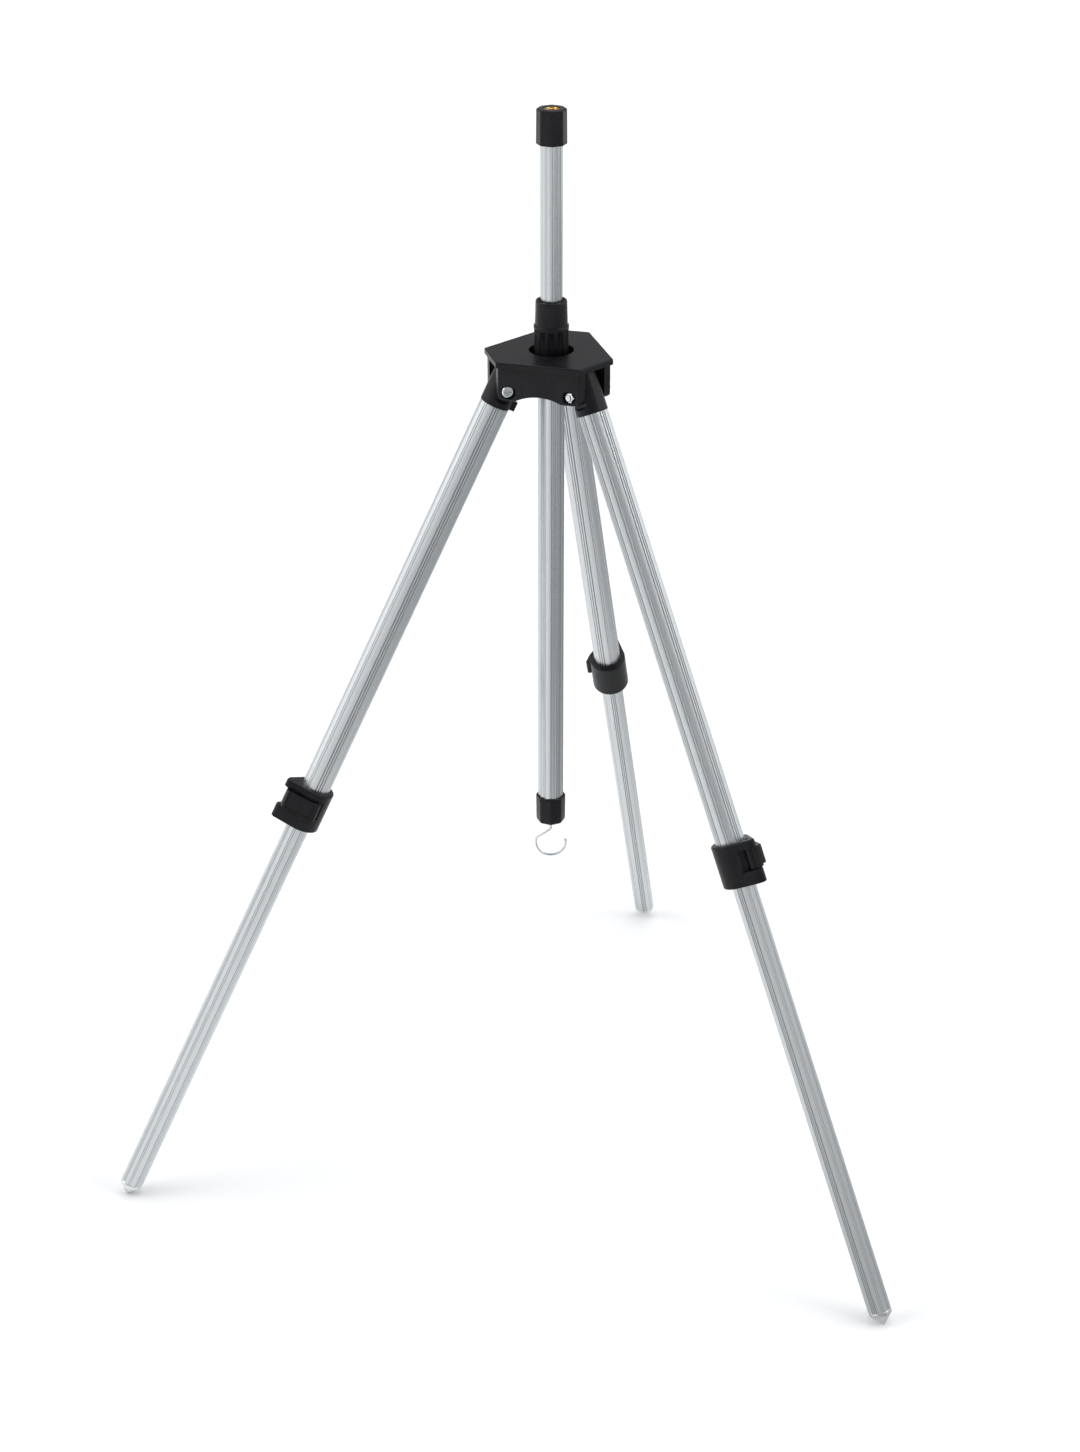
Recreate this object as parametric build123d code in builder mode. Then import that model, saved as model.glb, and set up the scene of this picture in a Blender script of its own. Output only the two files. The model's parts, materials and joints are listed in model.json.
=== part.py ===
from build123d import *
import os
from math import sin, cos, radians, degrees, atan2, acos, hypot, sqrt, tan

# Folding three-leg stand with a sliding centre column, a telescopic mast with
# a threaded top, and a load hook. Millimetres, +Z up. The origin is on the
# floor, under the axis of the column. The legs stand at -150, -30 and +90
# degrees round it.

# ---- stance
LEGS = {"a": -150.0, "b": -30.0, "c": 90.0}
SPLAY = 25.865  # leg from the vertical, spread out
FOOT_R = 407.5  # spike tips from the column axis

# ---- legs, measured up the leg from its spike tip
UPPER_R, UPPER_WALL = 12.5, 1.2
LOWER_R, LOWER_WALL = 10.15, 1.0
UPPER_S0, UPPER_S1 = 432.0, 823.0
LOWER_S0, LOWER_S1 = 14.4, 466.0
RUN = 0.05  # radial gap of a sliding fit

# ---- pivot of the legs
PIVOT_R, PIVOT_Z = 42.3, 757.5
PIVOT_S, PIVOT_OUT = 840.9, 1.85
PIN_R = 2.5
SEAT = 18.6  # bolt head and nut seats, from the leg's mid plane

# ---- knuckle
KNUCKLE_R = 12.9
TONGUE = 11.0
TOP_REACH = 20.2

# ---- hub
PLATE_TOP, PLATE_T = 783.2, 5.0
PLATE_LONG, PLATE_SHORT = 43.0, 52.2
WEB_LONG, WEB_SHORT = 41.0, 50.0
HUB_BOTTOM = 750.5
SLOT_HALF, SLOT_IN = 11.3, 21.5
COLUMN_R, COLUMN_WALL = 11.3, 1.2
SPIGOT_R, RECESS_R = 12.9, 18.65

# ---- mast
MAST_R, MAST_WALL = 9.1, 1.0
MAST_Z0, MAST_Z1 = 526.0, 966.0
TOP = 982.6
TAP_R = 4.2  # 3/8 inch thread at its core

# ---- hook
WIRE_R = 1.1
HOOK_R, HOOK_Z = 13.5, 315.5
HOOK_AZ = 15.07


def leg_axes(azimuth):
    """Directions of a leg: away from the column, round it, and up the leg."""
    a, t = radians(azimuth), radians(SPLAY)
    radial, up = Vector(cos(a), sin(a), 0), Vector(0, 0, 1)
    out = radial * cos(t) + up * sin(t)
    side = Vector(-sin(a), cos(a), 0)
    along = up * cos(t) - radial * sin(t)
    return radial * FOOT_R, out, side, along


def leg_plane(azimuth, s, turn=0.0):
    """Plane square to the leg at s, X away from the column, turned about the leg."""
    foot, out, side, along = leg_axes(azimuth)
    x = out * cos(radians(turn)) + side * sin(radians(turn))
    return Plane(origin=foot + along * s, x_dir=x, z_dir=along)


def leg_side_plane(azimuth):
    """Plane through the leg's axis, X away from the column, Y up the leg."""
    foot, out, side, along = leg_axes(azimuth)
    return Plane(origin=foot, x_dir=out, z_dir=side * -1)


def pivot_plane(azimuth, offset, flip=False):
    """Plane square to the leg's pivot, offset round the column."""
    foot, out, side, along = leg_axes(azimuth)
    a = radians(azimuth)
    centre = Vector(PIVOT_R * cos(a), PIVOT_R * sin(a), PIVOT_Z)
    return Plane(
        origin=centre + side * offset,
        x_dir=Vector(cos(a), sin(a), 0),
        z_dir=side * (-1 if flip else 1),
    )


def radial_plane(azimuth, z):
    """Level plane at z on the column axis, X towards the azimuth."""
    a = radians(azimuth)
    return Plane(origin=(0, 0, z), x_dir=(cos(a), sin(a), 0), z_dir=(0, 0, 1))


def hex_points(long_side, short_side):
    """Corners of the hub's outline, long sides facing -90, 30 and 150 degrees."""
    faces = [(-150, short_side), (-90, long_side), (-30, short_side),
             (30, long_side), (90, short_side), (150, long_side)]
    points = []
    for (a1, d1), (a2, d2) in zip(faces, faces[1:] + faces[:1]):
        n1 = (cos(radians(a1)), sin(radians(a1)))
        n2 = (cos(radians(a2)), sin(radians(a2)))
        det = n1[0] * n2[1] - n1[1] * n2[0]
        points.append(((d1 * n2[1] - d2 * n1[1]) / det,
                       (n1[0] * d2 - n2[0] * d1) / det))
    return points


# ------------------------------------------------------------------ hub body
with BuildPart() as hub_body:
    with BuildSketch(Plane.XY.offset(PLATE_TOP - PLATE_T)):
        with BuildLine():
            Polyline(*hex_points(PLATE_LONG, PLATE_SHORT), close=True)
        make_face()
        fillet(vertices(), radius=1.6)
    extrude(amount=PLATE_T)
    fillet(faces().sort_by(Axis.Z)[-1].outer_wire().edges(), radius=1.3)
    fillet(faces().sort_by(Axis.Z)[0].outer_wire().edges(), radius=0.5)
    # skirt under the plate
    with BuildSketch(Plane.XY.offset(HUB_BOTTOM)):
        with BuildLine():
            Polyline(*hex_points(WEB_LONG, WEB_SHORT), close=True)
        make_face()
    extrude(amount=PLATE_TOP - PLATE_T - HUB_BOTTOM)
    # the three slots that the legs fold in
    for azimuth in LEGS.values():
        with BuildSketch(radial_plane(azimuth, HUB_BOTTOM - 5)):
            with Locations(((SLOT_IN + 70) / 2, 0)):
                Rectangle(70 - SLOT_IN, 2 * SLOT_HALF)
        extrude(amount=PLATE_TOP - PLATE_T - HUB_BOTTOM + 5, mode=Mode.SUBTRACT)
    # hollow behind each web, and the shallow arch under it
    for azimuth in (-90.0, 30.0, 150.0):
        with BuildSketch(radial_plane(azimuth, HUB_BOTTOM - 1)):
            with BuildLine():
                Polyline((38, -14), (38, 14), (25.5, 14), (21, 5), (21, -5),
                         (25.5, -14), close=True)
            make_face()
        extrude(amount=PLATE_TOP - PLATE_T - HUB_BOTTOM + 1, mode=Mode.SUBTRACT)
        a = radians(azimuth)
        with BuildSketch(Plane(origin=(24 * cos(a), 24 * sin(a), 713.0),
                               x_dir=(-sin(a), cos(a), 0),
                               z_dir=(cos(a), sin(a), 0))):
            Circle(42.5)
        extrude(amount=25, mode=Mode.SUBTRACT)
    # cheek ends rounded at the bottom
    corner = hub_body.edges().filter_by_position(
        Axis.Z, HUB_BOTTOM - 0.01, HUB_BOTTOM + 0.01
    )
    ends = [
        e for e in corner
        if sqrt(e.center().X ** 2 + e.center().Y ** 2) > 50.2 and e.length < 14
    ]
    fillet(ends, radius=3.5)
    # softened outer corners of the skirt
    uprights = [
        e for e in hub_body.edges().filter_by(Axis.Z)
        if hypot(e.center().X, e.center().Y) > 51.5 and e.center().Z < 777.0
    ]
    fillet(uprights, radius=1.4)
    # well round the lock nut, threaded spigot and the column's bore
    with BuildSketch(Plane.XY.offset(771.0)):
        Circle(RECESS_R)
        Circle(SPIGOT_R, mode=Mode.SUBTRACT)
    extrude(amount=20, mode=Mode.SUBTRACT)
    with BuildSketch(Plane.XY.offset(PLATE_TOP - 0.5)):
        Circle(SPIGOT_R)
    extrude(amount=785.0 - PLATE_TOP + 0.5)
    with BuildSketch(Plane.XY.offset(740.0)):
        Circle(COLUMN_R + RUN)
    extrude(amount=60, mode=Mode.SUBTRACT)
    # pivot holes with deep seats for the bolt head and the nut
    for azimuth in LEGS.values():
        with BuildSketch(pivot_plane(azimuth, -30.0)):
            Circle(PIN_R)
        extrude(amount=60, mode=Mode.SUBTRACT)
        with BuildSketch(pivot_plane(azimuth, SEAT)):
            Circle(5.6)
        extrude(amount=20, mode=Mode.SUBTRACT)
        with BuildSketch(pivot_plane(azimuth, -SEAT, flip=True)):
            Circle(5.1)
        extrude(amount=20, mode=Mode.SUBTRACT)
hub_body.part.label = "hub_body"
export_step(hub_body.part, "parts/hub_body.step")

# --------------------------------------------- split collet on the hub spigot
with BuildPart() as column_collet:
    with BuildSketch(Plane.XZ):
        with BuildLine():
            Polyline((COLUMN_R + RUN, 785.0), (12.8, 785.0), (12.8, 787.0),
                     (12.1, 799.0), (COLUMN_R + RUN, 799.0), close=True)
        make_face()
    revolve(axis=Axis.Z)
    for azimuth in (0.0, 90.0, 180.0, 270.0):
        with BuildSketch(radial_plane(azimuth, 788.0)):
            with Locations((12, 0)):
                Rectangle(6, 1.2)
        extrude(amount=20, mode=Mode.SUBTRACT)
column_collet.part.label = "column_collet"
export_step(column_collet.part, "parts/column_collet.step")

# ------------------------------------------------------- column lock nut
with BuildPart() as column_lock_nut:
    with BuildSketch(Plane.XZ):
        with BuildLine():
            Polyline((13.0, 772.0), (14.1, 772.0), (14.6, 772.5), (14.6, 804.4),
                     (14.2, 805.2), (13.95, 805.2), (13.95, 803.2),
                     (11.7, 803.2), (11.7, 799.5), (12.4, 799.3), (13.1, 787.0),
                     (13.0, 786.0), close=True)
        make_face()
    revolve(axis=Axis.Z)
    with BuildSketch(Plane.XY.offset(771.0)):
        with PolarLocations(16.7, 12):
            Circle(2.6)
    extrude(amount=31.0, mode=Mode.SUBTRACT)
column_lock_nut.part.label = "column_lock_nut"
export_step(column_lock_nut.part, "parts/column_lock_nut.step")

# ------------------------------------------------------- column (outer tube)
with BuildPart() as column_tube:
    with BuildSketch(Plane.XY.offset(342.5)):
        Circle(COLUMN_R)
        Circle(COLUMN_R - COLUMN_WALL, mode=Mode.SUBTRACT)
    extrude(amount=812.0 - 342.5)
column_tube.part.label = "column_tube"
export_step(column_tube.part, "parts/column_tube.step")

with BuildPart() as column_top_collar:
    with BuildSketch(Plane.XY.offset(804.0)):
        Circle(12.35)
        Circle(COLUMN_R, mode=Mode.SUBTRACT)
    extrude(amount=8.0)
column_top_collar.part.label = "column_top_collar"
export_step(column_top_collar.part, "parts/column_top_collar.step")

with BuildPart() as column_end_cap:
    with BuildSketch(radial_plane(-75.0, 339.5)):
        RegularPolygon(radius=12.7, side_count=8)
    with BuildSketch(radial_plane(-75.0, 342.0)):
        RegularPolygon(radius=13.1, side_count=8)
    loft()
    with BuildSketch(radial_plane(-75.0, 342.0)):
        RegularPolygon(radius=13.1, side_count=8)
    with BuildSketch(radial_plane(-75.0, 365.0)):
        RegularPolygon(radius=13.35, side_count=8)
    loft()
    with BuildSketch(Plane.XY.offset(342.5)):
        Circle(COLUMN_R)
    extrude(amount=30, mode=Mode.SUBTRACT)
    with BuildSketch(Plane.XY.offset(330.0)):
        Circle(WIRE_R + 0.06)
    extrude(amount=30, mode=Mode.SUBTRACT)
column_end_cap.part.label = "column_end_cap"
export_step(column_end_cap.part, "parts/column_end_cap.step")

with BuildPart() as mast_collet:
    with BuildSketch(Plane.XZ):
        with BuildLine():
            Polyline((MAST_R + RUN, 812.0), (11.2, 812.0), (11.2, 814.0),
                     (10.5, 822.0), (MAST_R + RUN, 822.0), close=True)
        make_face()
    revolve(axis=Axis.Z)
    for azimuth in (45.0, 135.0, 225.0, 315.0):
        with BuildSketch(radial_plane(azimuth, 814.0)):
            with Locations((10, 0)):
                Rectangle(4, 1.0)
        extrude(amount=20, mode=Mode.SUBTRACT)
mast_collet.part.label = "mast_collet"
export_step(mast_collet.part, "parts/mast_collet.step")

# ------------------------------------------------------- mast lock sleeve
with BuildPart() as mast_lock_sleeve:
    with BuildSketch(Plane.XZ):
        with BuildLine():
            Polyline((12.65, 803.5), (13.5, 803.5), (13.72, 803.9), (13.0, 825.2),
                     (12.4, 825.8), (11.2, 825.8), (9.5, 823.6), (9.5, 822.4),
                     (10.8, 822.3), (11.5, 814.0), (11.5, 812.4),
                     (12.65, 812.3), close=True)
        make_face()
    revolve(axis=Axis.Z)
mast_lock_sleeve.part.label = "mast_lock_sleeve"
export_step(mast_lock_sleeve.part, "parts/mast_lock_sleeve.step")

# ------------------------------------------------------- mast (inner tube)
with BuildPart() as mast_tube:
    with BuildSketch(Plane.XY.offset(MAST_Z0)):
        Circle(MAST_R)
        Circle(MAST_R - MAST_WALL, mode=Mode.SUBTRACT)
    extrude(amount=MAST_Z1 - MAST_Z0)
mast_tube.part.label = "mast_tube"
export_step(mast_tube.part, "parts/mast_tube.step")

with BuildPart() as mast_guide_bush:
    with BuildSketch(Plane.XY.offset(MAST_Z0)):
        Circle(COLUMN_R - COLUMN_WALL - RUN)
        Circle(MAST_R, mode=Mode.SUBTRACT)
    extrude(amount=12.0)
    with BuildSketch(Plane.XY.offset(MAST_Z0 - 3.0)):
        Circle(COLUMN_R - COLUMN_WALL - RUN)
    extrude(amount=3.0)
mast_guide_bush.part.label = "mast_guide_bush"
export_step(mast_guide_bush.part, "parts/mast_guide_bush.step")

with BuildPart() as mast_top_cap:
    with BuildSketch(radial_plane(-75.0, 954.3)):
        RegularPolygon(radius=12.75, side_count=8)
    with BuildSketch(radial_plane(-75.0, 981.6)):
        RegularPolygon(radius=12.45, side_count=8)
    loft()
    with BuildSketch(radial_plane(-75.0, 981.6)):
        RegularPolygon(radius=12.45, side_count=8)
    with BuildSketch(radial_plane(-75.0, TOP)):
        RegularPolygon(radius=11.6, side_count=8)
    loft()
    with BuildSketch(Plane.XY.offset(950.0)):
        Circle(MAST_R)
    extrude(amount=MAST_Z1 - 950.0, mode=Mode.SUBTRACT)
    with BuildSketch(Plane.XY.offset(960.0)):
        Circle(6.35)
    extrude(amount=30.0, mode=Mode.SUBTRACT)
mast_top_cap.part.label = "mast_top_cap"
export_step(mast_top_cap.part, "parts/mast_top_cap.step")

with BuildPart() as brass_insert:
    with BuildSketch(Plane.XY.offset(966.0)):
        Circle(6.35)
        Circle(TAP_R, mode=Mode.SUBTRACT)
    extrude(amount=16.0)
    chamfer(brass_insert.edges().filter_by(GeomType.CIRCLE)
            .group_by(Axis.Z)[-1].sort_by(SortBy.LENGTH)[0:1], length=0.5)
brass_insert.part.label = "brass_insert"
export_step(brass_insert.part, "parts/brass_insert.step")

# ------------------------------------------------------- load hook
HOOK_PLANE = Plane(origin=(0, 0, HOOK_Z),
                   x_dir=(cos(radians(HOOK_AZ)), sin(radians(HOOK_AZ)), 0),
                   z_dir=(sin(radians(HOOK_AZ)), -cos(radians(HOOK_AZ)), 0))
BEND = 3.5  # small bend between the straight shank and the bowl
BEND_AT = 163.0
NECK = 13.5
bend_c = ((HOOK_R - BEND) * cos(radians(BEND_AT)), (HOOK_R - BEND) * sin(radians(BEND_AT)))
_p, _q = NECK - bend_c[1], -bend_c[0]
beta = 180.0 - degrees(atan2(_q, _p)) - degrees(acos(sqrt(1 - (BEND / sqrt(_p * _p + _q * _q)) ** 2)))
bend_p = (bend_c[0] + BEND * cos(radians(beta)), bend_c[1] + BEND * sin(radians(beta)))
mid = (beta + BEND_AT) / 2
bend_m = (bend_c[0] + BEND * cos(radians(mid)), bend_c[1] + BEND * sin(radians(mid)))
bowl_p = (HOOK_R * cos(radians(BEND_AT)), HOOK_R * sin(radians(BEND_AT)))
tip_p = (HOOK_R * cos(radians(12)), HOOK_R * sin(radians(12)))
with BuildPart() as load_hook:
    with BuildLine(HOOK_PLANE) as hook_line:
        FilletPolyline((0, 28.2), (0, NECK), bend_p, radius=3.2)
        ThreePointArc(bend_p, bend_m, bowl_p)
        ThreePointArc(bowl_p, (0, -HOOK_R), tip_p)
    with BuildSketch(Plane.XY.offset(HOOK_Z + 28.2)):
        Circle(WIRE_R)
    sweep(path=hook_line.line)
    with BuildSketch(Plane.XY.offset(342.8)):
        Circle(2.6)
    extrude(amount=1.6)
load_hook.part.label = "load_hook"
export_step(load_hook.part, "parts/load_hook.step")


# ------------------------------------------------------------------ legs
def make_knuckle(az):
    with BuildPart() as part:
        with BuildSketch(leg_plane(az, UPPER_S1)):
            Circle(KNUCKLE_R)
        extrude(amount=45)
        with BuildSketch(leg_side_plane(az)):
            px, pz = PIVOT_OUT, PIVOT_S
            c, t = cos(radians(SPLAY)), sin(radians(SPLAY))
            # points above the pivot, seen in the spread leg
            flat_out = (px + KNUCKLE_R - px, pz + (TOP_REACH - (KNUCKLE_R - px) * t) / c)
            crown = (px + TOP_REACH * t, pz + TOP_REACH * c)
            inner_z = sqrt(TOP_REACH ** 2 - (KNUCKLE_R + px) ** 2)
            half = (degrees(atan2(c, t)) + degrees(atan2(inner_z, -KNUCKLE_R - px))) / 2
            with BuildLine():
                Polyline((-KNUCKLE_R, pz + inner_z), (-KNUCKLE_R, UPPER_S1),
                         (KNUCKLE_R, UPPER_S1), flat_out, crown)
                ThreePointArc(crown, (px + TOP_REACH * cos(radians(half)),
                                      pz + TOP_REACH * sin(radians(half))),
                              (-KNUCKLE_R, pz + inner_z))
            make_face()
        extrude(amount=20, both=True, mode=Mode.INTERSECT)
        # flats of the tongue, with a sloped shoulder
        foot, out, side, along = leg_axes(az)
        with BuildSketch(Plane(origin=foot - out * 20, x_dir=side, z_dir=out)):
            for sign in (1, -1):
                with BuildLine():
                    Polyline((sign * TONGUE, 829.8), (sign * TONGUE, 880.0),
                             (sign * 20.0, 880.0), (sign * 20.0, 825.0),
                             (sign * 13.2, 827.6), close=True)
                make_face()
        extrude(amount=40, mode=Mode.SUBTRACT)
        rim = [e for e in part.edges().filter_by(GeomType.CIRCLE)
               if abs(e.radius - KNUCKLE_R) < 0.01
               and abs((e.arc_center - foot).dot(along) - UPPER_S1) < 0.01]
        fillet(rim, radius=0.7)
        # plug in the tube, stop lug, pivot hole
        with BuildSketch(leg_plane(az, 803.0)):
            Circle(UPPER_R - UPPER_WALL)
        extrude(amount=20.0)
        with BuildSketch(leg_plane(az, UPPER_S1)):
            with Locations((-(KNUCKLE_R + 1.2), 0)):
                Rectangle(6.6, 4.6)
        extrude(amount=8.0)
        with BuildSketch(pivot_plane(az, -20)):
            Circle(PIN_R + 0.06)
        extrude(amount=40, mode=Mode.SUBTRACT)
    return part


def make_upper_tube(az):
    with BuildPart() as part:
        with BuildSketch(leg_plane(az, UPPER_S0)):
            Circle(UPPER_R)
            Circle(UPPER_R - UPPER_WALL, mode=Mode.SUBTRACT)
        extrude(amount=UPPER_S1 - UPPER_S0)
    return part


def make_lower_tube(az):
    with BuildPart() as part:
        with BuildSketch(leg_plane(az, LOWER_S0)):
            Circle(LOWER_R)
            Circle(LOWER_R - LOWER_WALL, mode=Mode.SUBTRACT)
        extrude(amount=LOWER_S1 - LOWER_S0)
    return part


def make_leg_bush(az):
    with BuildPart() as part:
        with BuildSketch(leg_plane(az, LOWER_S1 - 12)):
            Circle(UPPER_R - UPPER_WALL - RUN)
            Circle(LOWER_R, mode=Mode.SUBTRACT)
        extrude(amount=12)
        with BuildSketch(leg_plane(az, LOWER_S1)):
            Circle(UPPER_R - UPPER_WALL - RUN)
        extrude(amount=2)
    return part


TIP_R = 1.0
TIP_HALF = 41.5


def make_spike(az):
    foot, out, side, along = leg_axes(az)
    s_c = TIP_R / cos(radians(SPLAY))
    h = radians(TIP_HALF)
    tangent = (TIP_R * cos(h), s_c - TIP_R * sin(h))
    low = radians(-45 - TIP_HALF / 2)
    rim_s = tangent[1] + (10.0 - tangent[0]) / tan(h)
    plane = Plane(origin=foot, x_dir=out, z_dir=side * -1)
    with BuildPart() as part:
        with BuildSketch(plane):
            with BuildLine():
                ThreePointArc((0, s_c - TIP_R),
                              (TIP_R * cos(low), s_c + TIP_R * sin(low)), tangent)
                Polyline(tangent, (10.0, rim_s), (10.0, LOWER_S0),
                         (LOWER_R - LOWER_WALL, LOWER_S0),
                         (LOWER_R - LOWER_WALL, LOWER_S0 + 16),
                         (0, LOWER_S0 + 16), (0, s_c - TIP_R))
            make_face()
        revolve(axis=Axis(foot, along))
    return part


# clamp of the telescopic leg: p and q are turned -30 degrees about the leg
LOCK_TURN = -30.0
COLLAR_S0, COLLAR_S1 = 409.5, 447.5
SLOT_S0, SLOT_S1 = 421.5, 440.6
PLATE_S0, PLATE_S1 = 423.7, 440.2
COLLAR_R = 17.0
EAR_R = 8.0
LEVER_PIN = (15.8, 10.5)
BARREL_R = 5.1
LOCK_PIN_R = 1.75
PIN_DIST = hypot(*LEVER_PIN)
PIN_ANGLE = degrees(atan2(LEVER_PIN[1], LEVER_PIN[0]))


def polar(radius, angle):
    return (radius * cos(radians(angle)), radius * sin(radians(angle)))


def make_collar(az):
    # common tangent of the collar and of the ears round the pin
    lean = PIN_ANGLE - degrees(acos((COLLAR_R - EAR_R) / PIN_DIST))
    ear = polar(EAR_R, lean)
    ear = (LEVER_PIN[0] + ear[0], LEVER_PIN[1] + ear[1])
    ear_mid = polar(EAR_R, lean / 2)
    ear_mid = (LEVER_PIN[0] + ear_mid[0], LEVER_PIN[1] + ear_mid[1])
    ear_end = (LEVER_PIN[0] + EAR_R, LEVER_PIN[1])
    with BuildPart() as part:
        with BuildSketch(leg_plane(az, COLLAR_S0, LOCK_TURN)):
            with BuildLine():
                ThreePointArc(polar(COLLAR_R, 85.0),
                              polar(COLLAR_R, (85.0 + lean + 360.0) / 2),
                              polar(COLLAR_R, lean))
                Line(polar(COLLAR_R, lean), ear)
                ThreePointArc(ear, ear_mid, ear_end)
                Polyline(ear_end, (ear_end[0], 13.4), (21.6, 15.5),
                         polar(COLLAR_R, 85.0))
            make_face()
            corners = [v for v in vertices() if
                       min(hypot(v.X - x, v.Y - y) for x, y in
                           ((ear_end[0], 13.4), (21.6, 15.5))) < 0.05]
            fillet(corners, radius=1.8)
        extrude(amount=COLLAR_S1 - COLLAR_S0)
        foot, out, side, along = leg_axes(az)
        rims = part.edges().group_by(Axis(foot, along))
        fillet(rims[0] + rims[-1], radius=1.5)
        # gap for the lever, between its two ears
        with BuildSketch(leg_plane(az, SLOT_S0, LOCK_TURN)):
            with Locations(LEVER_PIN):
                Circle(BARREL_R + 0.3)
            with BuildLine():
                Polyline((10.7, 11.0), (10.4, 13.6), (0, 17.02), (-8, 17.5),
                         (-8, 40), (40, 40), (40, -20), (21.5, -9),
                         (16.6, 0), (16.4, 5.15), (15.8, 10.5), close=True)
            make_face()
        extrude(amount=SLOT_S1 - SLOT_S0, mode=Mode.SUBTRACT)
        # finger pocket beside the lever's tip
        with BuildSketch(leg_plane(az, SLOT_S0 + 1.5, LOCK_TURN)):
            with BuildLine():
                Polyline(polar(16.1, 98), polar(16.1, 106), polar(16.1, 114),
                         polar(16.1, 122), polar(16.1, 130), polar(16.1, 138),
                         polar(16.3, 145), polar(20.0, 147), polar(24.0, 120),
                         polar(24.0, 98), close=True)
            make_face()
        extrude(amount=SLOT_S1 - SLOT_S0 - 1.5, mode=Mode.SUBTRACT)
        # bores for the two tubes
        with BuildSketch(leg_plane(az, COLLAR_S0 - 1, LOCK_TURN)):
            Circle(LOWER_R + RUN)
        extrude(amount=60, mode=Mode.SUBTRACT)
        with BuildSketch(leg_plane(az, UPPER_S0, LOCK_TURN)):
            Circle(UPPER_R)
        extrude(amount=60, mode=Mode.SUBTRACT)
        # window of the brake shoe
        with BuildSketch(leg_plane(az, 423.0, LOCK_TURN + PIN_ANGLE)):
            with Locations((12.0, 0)):
                Rectangle(8.0, 8.0)
        extrude(amount=8.0, mode=Mode.SUBTRACT)
        # hole of the lever's pin
        with BuildSketch(leg_plane(az, COLLAR_S0 - 1, LOCK_TURN)):
            with Locations(LEVER_PIN):
                Circle(LOCK_PIN_R)
        extrude(amount=60, mode=Mode.SUBTRACT)
    return part


def make_lock_pin(az):
    with BuildPart() as part:
        with BuildSketch(leg_plane(az, COLLAR_S0 + 0.6, LOCK_TURN)):
            with Locations(LEVER_PIN):
                Circle(LOCK_PIN_R)
        extrude(amount=COLLAR_S1 - COLLAR_S0 - 1.2)
    return part


def make_shoe(az):
    with BuildPart() as part:
        with BuildSketch(leg_plane(az, 423.2, LOCK_TURN + PIN_ANGLE)):
            with Locations((PIN_DIST - BARREL_R - 0.3 - 1.75, 0)):
                Rectangle(3.5, 7.6)
            Circle(LOWER_R + RUN, mode=Mode.SUBTRACT)
        extrude(amount=7.6)
    return part


def make_lever(az):
    with BuildPart() as part:
        # barrel round the pin, and the arm beside it
        with BuildSketch(leg_plane(az, SLOT_S0 + 0.4, LOCK_TURN)):
            with Locations(LEVER_PIN):
                Circle(BARREL_R)
            with BuildLine():
                Polyline((10.75, 11.2), (20.9, 10.5), (20.0, 15.0), (18.6, 17.4),
                         (11.2, 17.4), (10.9, 15.0), close=True)
            make_face()
        extrude(amount=PLATE_S1 - SLOT_S0 - 0.4)
        # plate that follows the collar, with a raised tip
        with BuildSketch(leg_plane(az, PLATE_S0, LOCK_TURN)):
            with BuildLine():
                Polyline(polar(17.4, 90), (10.9, 17.4), (10.9, 15.0), (20.0, 15.0),
                         (18.9, 18.2), (16.6, 20.7), polar(20.7, 90))
                ThreePointArc(polar(20.7, 90), polar(20.7, 106), polar(20.7, 122))
                Polyline(polar(20.7, 122), polar(21.5, 124.5), polar(21.5, 127),
                         polar(20.6, 130.5), polar(17.9, 130.5), polar(17.4, 129))
                ThreePointArc(polar(17.4, 129), polar(17.4, 110), polar(17.4, 90))
            make_face()
        extrude(amount=PLATE_S1 - PLATE_S0)
        # shallow panel in its face, and the grips at its tip
        with BuildSketch(leg_plane(az, PLATE_S0 + 1.7, LOCK_TURN)):
            with BuildLine():
                Polyline((15.2, 22.5), (15.2, 20.1), (0, 20.1))
                ThreePointArc((0, 20.1), polar(20.1, 103), polar(20.1, 116))
                Polyline(polar(20.1, 116), polar(23.0, 116), (0, 24.0), (15.2, 22.5))
            make_face()
        extrude(amount=PLATE_S1 - PLATE_S0 - 3.4, mode=Mode.SUBTRACT)
        with BuildSketch(leg_plane(az, SLOT_S0 - 5, LOCK_TURN)):
            with Locations(LEVER_PIN):
                Circle(LOCK_PIN_R + 0.06)
        extrude(amount=40, mode=Mode.SUBTRACT)
        foot, out, side, along = leg_axes(az)
        ends = part.edges().group_by(Axis(foot, along))
        outer = [e for e in ends[-1] if (e.center() - foot).cross(along).length > 19.0]
        fillet(outer, radius=0.6)
    return part


def make_bolt(az):
    with BuildPart() as part:
        with BuildSketch(pivot_plane(az, -SEAT - 5.0)):
            Circle(PIN_R)
        extrude(amount=2 * SEAT + 5.0)
        with BuildSketch(pivot_plane(az, SEAT)):
            Circle(5.15)
        extrude(amount=3.4)
        rims = [e for e in part.edges().filter_by(GeomType.CIRCLE)
                if abs(e.radius - 5.15) < 0.01]
        top = pivot_plane(az, SEAT + 3.4).origin
        fillet(sorted(rims, key=lambda e: (e.arc_center - top).length)[0], radius=1.3)
        with BuildSketch(pivot_plane(az, SEAT + 1.6)):
            Rectangle(5.4, 1.1)
            Rectangle(1.1, 5.4)
        extrude(amount=5, mode=Mode.SUBTRACT)
    return part


def make_nut(az):
    with BuildPart() as part:
        with BuildSketch(pivot_plane(az, -SEAT, flip=True)):
            RegularPolygon(radius=4.0, side_count=6, major_radius=False)
            Circle(PIN_R, mode=Mode.SUBTRACT)
        extrude(amount=4.0)
    return part


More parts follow.
